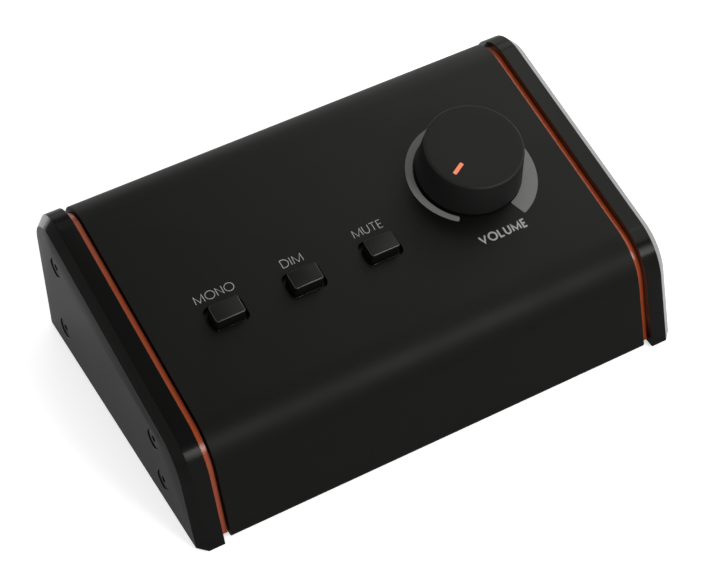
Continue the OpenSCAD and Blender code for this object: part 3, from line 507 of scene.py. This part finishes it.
def letter(kind, w):
    """Centre lines of one plain capital, w wide and 1 high, as (path, closed) strokes."""
    s = w / 2
    if kind == "M":
        return [([(0, 0), (0.06, 1), (s, 0.02), (w - 0.06, 1), (w, 0)], False)]
    if kind == "N":
        return [([(0, 0), (0, 1), (w, 0), (w, 1)], False)]
    if kind == "V":
        return [([(0, 1), (s, 0), (w, 1)], False)]
    if kind == "I":
        return [([(0, 0), (0, 1)], False)]
    if kind == "L":
        return [([(0, 1), (0, 0), (w, 0)], False)]
    if kind == "T":
        return [([(0, 1), (w, 1)], False), ([(s, 0), (s, 0.95)], False)]
    if kind == "E":
        bracket = [(w, 1), (0, 1), (0, 0), (w, 0)]
        return [(bracket, False), ([(0.04, 0.51), (w * 0.9, 0.51)], False)]
    if kind == "U":
        return [(np.concatenate([[(0, 1)], arc(s, s, s, 180, 360, 16), [(w, 1)]]), False)]
    if kind == "O":
        a = np.radians(np.linspace(0, 360, 40, endpoint=False))
        return [(np.stack([s + s * np.cos(a), 0.5 + 0.5 * np.sin(a)], -1), True)]
    bow = arc(w - 0.5, 0.5, 0.5, -90, 90, 20)
    return [(np.concatenate([[(0, 0)], bow, [(0, 1)]]), True)]


# Each capital's width beside the others, before a word is fitted to its length
WIDE = {"M": 1.06, "N": 0.7, "V": 0.86, "I": 0.0, "L": 0.5, "T": 0.62, "E": 0.48, "U": 0.68,
        "O": 1.06, "D": 0.79}
# How far a stroke may pass the letter's own sides
OVERRUN = 0.02


def word(name, text, x0, x1, u0, u1, width, space):
    """A printed word between x0 and x1 across and u0 and u1 up the slope. Strokes are cut level at
    the top and foot of the line, and the letters and their spaces fill the given length."""
    body = (u1 - u0) - width
    spans = [WIDE[c] for c in text]
    room = (x1 - x0) - width * len(text)
    scale = room / (sum(spans) + (len(text) - 1) * space)
    all_points, all_faces, at, count = [], [], x0, 0
    for c, span in zip(text, spans):
        for path, closed in letter(c, span):
            path = np.asarray(path, float) * (scale, body) + (at + width / 2, u0 + width / 2)
            flat, faces = stroke(path, width, closed)
            flat[:, 0] = np.clip(flat[:, 0], at - OVERRUN, at + span * scale + width + OVERRUN)
            flat[:, 1] = np.clip(flat[:, 1], u0, u1)
            all_points.append(flat)
            all_faces.append(faces + count)
            count += len(flat)
        at += span * scale + width + space * scale
    flat = np.concatenate(all_points)
    world = on_panel(flat[:, 0], flat[:, 1], PRINT_H)
    piece(name, world, np.concatenate(all_faces), "housing", None, word_ink)


# Foot and top of the line of words at the buttons, and the width of its strokes
BUTTON_LINE = (52.1, 55.7, 0.26)
word("mono_print", "MONO", -66.5, -50.7, *BUTTON_LINE, 0.17)
word("dim_print", "DIM", -31.7, -23.1, *BUTTON_LINE, 0.2)
word("mute_print", "MUTE", -2.3, 9.8, *BUTTON_LINE, 0.17)
word("volume_print", "VOLUME", 38.3, 58.2, 29.3, 33.2, 0.68, 0.15)


# ---------------------------------------------------------------- stage

WHITE = (1.0, 1.0, 1.0, 1.0)
FLOOR_WHITE = (0.92, 0.92, 0.92, 1.0)
# The floor's glow, as the camera sees it and as gloss and metal mirror it
FLOOR_GLOW = (0.6, 0.1)
# Half the floor's side, in metres
FLOOR_HALF = 3.0
AMBIENT = 0.5
# The mirrored room: upward part of the direction where it is white and where it is darkest
ROOM_SPAN = (0.2, 0.75)
ROOM_DARKEST = 0.16


def seen_or_mirrored(tree, seen, mirrored):
    """A factor: seen for camera rays, mirrored for glossy and transmission rays, 0 for the rest."""
    rays = add(tree, "LightPath").outputs
    total = combined(tree, "MULTIPLY", rays["Is Camera Ray"], seen)
    for kind in ("Is Glossy Ray", "Is Transmission Ray"):
        total = combined(tree, "MAXIMUM", total, combined(tree, "MULTIPLY", rays[kind], mirrored))
    return total


def floor_paint():
    """Matt white paint that takes the object's shadow, with a plain white glow added to it for the
    camera and, weaker, for what metal and gloss mirror."""
    material = bpy.data.materials.new("white_floor")
    material.use_nodes = True
    tree = material.node_tree
    link = tree.links.new
    tree.nodes.remove(tree.nodes["Principled BSDF"])
    paint = add(tree, "BsdfDiffuse", Color=FLOOR_WHITE)
    glow = add(tree, "Emission", Color=WHITE)
    both = add(tree, "AddShader")
    link(seen_or_mirrored(tree, *FLOOR_GLOW), glow.inputs["Strength"])
    link(paint.outputs[0], both.inputs[0])
    link(glow.outputs[0], both.inputs[1])
    link(both.outputs[0], tree.nodes["Material Output"].inputs["Surface"])
    return material


def ground():
    """A square floor at the height of the feet."""
    mesh = bpy.data.meshes.new("floor")
    corners = [(x * FLOOR_HALF, y * FLOOR_HALF, 0) for x, y in ((-1, -1), (1, -1), (1, 1), (-1, 1))]
    mesh.from_pydata(corners, [], [(0, 1, 2, 3)])
    mesh.materials.append(floor_paint())
    in_scene("floor", mesh)


def studio():
    """Even light from all round, and a room for the camera and for gloss and metal to mirror. The
    room is white at the sides and darker overhead, by the upward part of the direction."""
    world = bpy.data.worlds.new("studio")
    bpy.context.scene.world = world
    world.use_nodes = True
    tree = world.node_tree
    link = tree.links.new
    ambient = tree.nodes["Background"]
    ambient.inputs["Color"].default_value = WHITE
    ambient.inputs["Strength"].default_value = AMBIENT
    room = add(tree, "Background", Color=WHITE)
    way, parts = add(tree, "TexCoord"), add(tree, "SeparateXYZ")
    choose = add(tree, "MixShader")
    link(way.outputs["Generated"], parts.inputs[0])
    link(mapped(tree, parts.outputs["Z"], *ROOM_SPAN, 1.0, ROOM_DARKEST, "SMOOTHSTEP"),
         room.inputs["Strength"])
    link(seen_or_mirrored(tree, 1.0, 1.0), choose.inputs["Fac"])
    link(ambient.outputs[0], choose.inputs[1])
    link(room.outputs[0], choose.inputs[2])
    link(choose.outputs[0], tree.nodes["World Output"].inputs["Surface"])


ground()
studio()


# ---------------------------------------------------------------- lamps

# Where all lamps aim, in metres
AIM = np.array([0.0, 0.0, 0.03])


def soft_light(name, place, size, power, mirrored_only=False):
    """A rectangular soft light at a place, in metres, that faces the aim point. With mirrored_only
    it is a card that shows in glossy surfaces and lights nothing else."""
    lamp = bpy.data.lights.new(name, "AREA")
    lamp.shape = "RECTANGLE"
    lamp.size, lamp.size_y = size
    lamp.energy = power
    made = in_scene(name, lamp)
    place = np.array(place)
    back = (place - AIM) / np.linalg.norm(place - AIM)
    side = np.cross((0.0, 0.0, 1.0), back)
    side /= np.linalg.norm(side)
    made.matrix_world = stand(side, np.cross(back, side), back, place)
    made.visible_diffuse = not mirrored_only


soft_light("rear_right_card", (0.95, 0.75, 0.75), (0.9, 0.7), 7.3, mirrored_only=True)
soft_light("overhead_right_card", (0.8, 0.35, 1.1), (0.7, 0.9), 5.4, mirrored_only=True)
soft_light("front_right_card", (0.68, -0.3, 1.0), (0.5, 0.7), 3.3, mirrored_only=True)
soft_light("front_softbox", (0.42, -0.93, 0.79), (0.5, 0.35), 8.0)
soft_light("overhead_softbox", (0.35, 0.7, 1.15), (0.9, 0.6), 1.6)
soft_light("rear_strip", (0.3, 1.3, 0.4), (1.2, 0.4), 1.2)


# ---------------------------------------------------------------- camera

# Azimuth, elevation and roll of the photograph's view
VIEW = [math.radians(angle) for angle in (-28.885, 47.771, -1.026)]
# Aim point, distance, and how far the camera stands left of and below the line to the aim point
VIEW_AIM = np.array([0, 0, 32.68])
VIEW_DISTANCE, VIEW_LEFT, VIEW_DOWN = 798.2, 2.17, 8.74
# Focal length in picture widths, from pixels of a 704 wide picture
FOCAL = 2164.305 / 704
SENSOR = 36.0


def photo_camera():
    """The camera's frame from azimuth, elevation and roll: back = (sin a cos e, -cos a cos e, sin e),
    right = (cos a, sin a, 0), up = back x right, and the last two turned by the roll. The place is
    the aim point plus back times the distance, less the sideways offsets."""
    a, e, r = VIEW
    back = np.array([math.sin(a) * math.cos(e), -math.cos(a) * math.cos(e), math.sin(e)])
    right = np.array([math.cos(a), math.sin(a), 0.0])
    up = np.cross(back, right)
    right, up = math.cos(r) * right + math.sin(r) * up, -math.sin(r) * right + math.cos(r) * up
    place = VIEW_AIM + back * VIEW_DISTANCE - right * VIEW_LEFT - up * VIEW_DOWN
    lens = bpy.data.cameras.new("photo_camera")
    lens.sensor_width = SENSOR
    lens.lens = FOCAL * SENSOR
    lens.clip_start, lens.clip_end = 0.01, 20.0
    made = in_scene("photo_camera", lens)
    made.matrix_world = stand(right, up, back, place * MM)
    bpy.context.scene.camera = made


photo_camera()
bpy.context.scene.view_settings.view_transform = "Standard"
